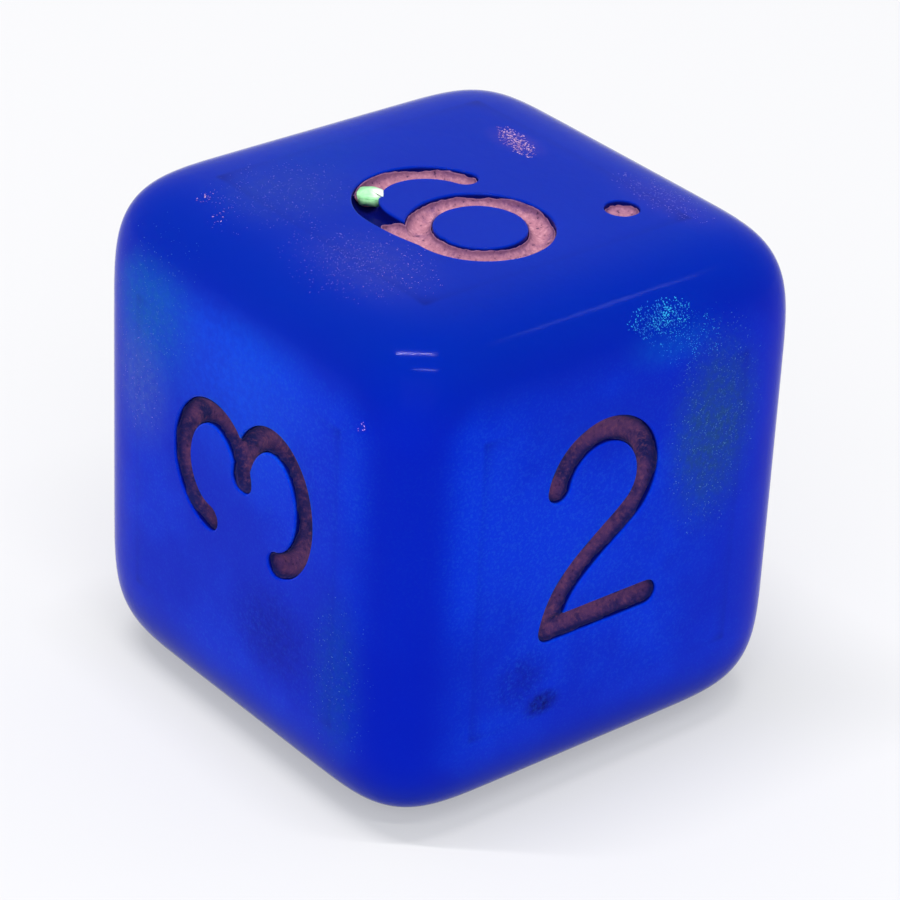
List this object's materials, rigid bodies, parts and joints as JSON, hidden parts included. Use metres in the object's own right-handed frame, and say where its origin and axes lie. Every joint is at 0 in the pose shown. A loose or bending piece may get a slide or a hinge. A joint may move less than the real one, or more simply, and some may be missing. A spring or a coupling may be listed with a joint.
{
  "type": "numbered six-sided die",
  "caption": "Tumble-rounded translucent blue die with engraved, painted digits and shiny film flakes showing at its skin.",
  "frame": {"origin": "centre of the die's body", "axes": "+Z out of the face with the six, +X out of the face with the two, +Y out of the face with the four"},
  "size_m": [0.016, 0.0158, 0.0164],
  "materials": {
    "blue_resin": "translucent cloudy blue resin, satin-gloss from tumbling",
    "digit_paint": "thin matt coppery pink-brown paint, slightly gritty",
    "green_plastic": "pale green broken plastic chip",
    "rose_film": "iridescent film, pink",
    "violet_film": "iridescent film, violet",
    "cyan_film": "iridescent film, cyan",
    "teal_film": "iridescent film, teal"
  },
  "bodies": {
    "root": {"die_body": "blue_resin", "one_paint": "digit_paint", "two_paint": "digit_paint", "three_paint": "digit_paint", "four_paint": "digit_paint", "five_paint": "digit_paint", "six_hook_paint": "digit_paint", "six_bowl_paint": "digit_paint", "six_dot_paint": "digit_paint", "green_fleck": "green_plastic", "film_flake_01": "cyan_film", "film_flake_02": "cyan_film", "film_flake_03": "cyan_film", "film_flake_04": "teal_film", "film_flake_05": "teal_film", "film_flake_06": "teal_film", "film_flake_07": "teal_film", "film_flake_08": "teal_film", "film_flake_09": "rose_film", "film_flake_10": "violet_film", "film_flake_11": "teal_film", "film_flake_12": "rose_film", "film_flake_13": "cyan_film", "film_flake_14": "rose_film", "film_flake_15": "rose_film", "film_flake_16": "rose_film", "film_flake_17": "violet_film", "film_flake_18": "violet_film", "film_flake_19": "rose_film", "film_flake_20": "violet_film"}
  },
  "joints": []
}
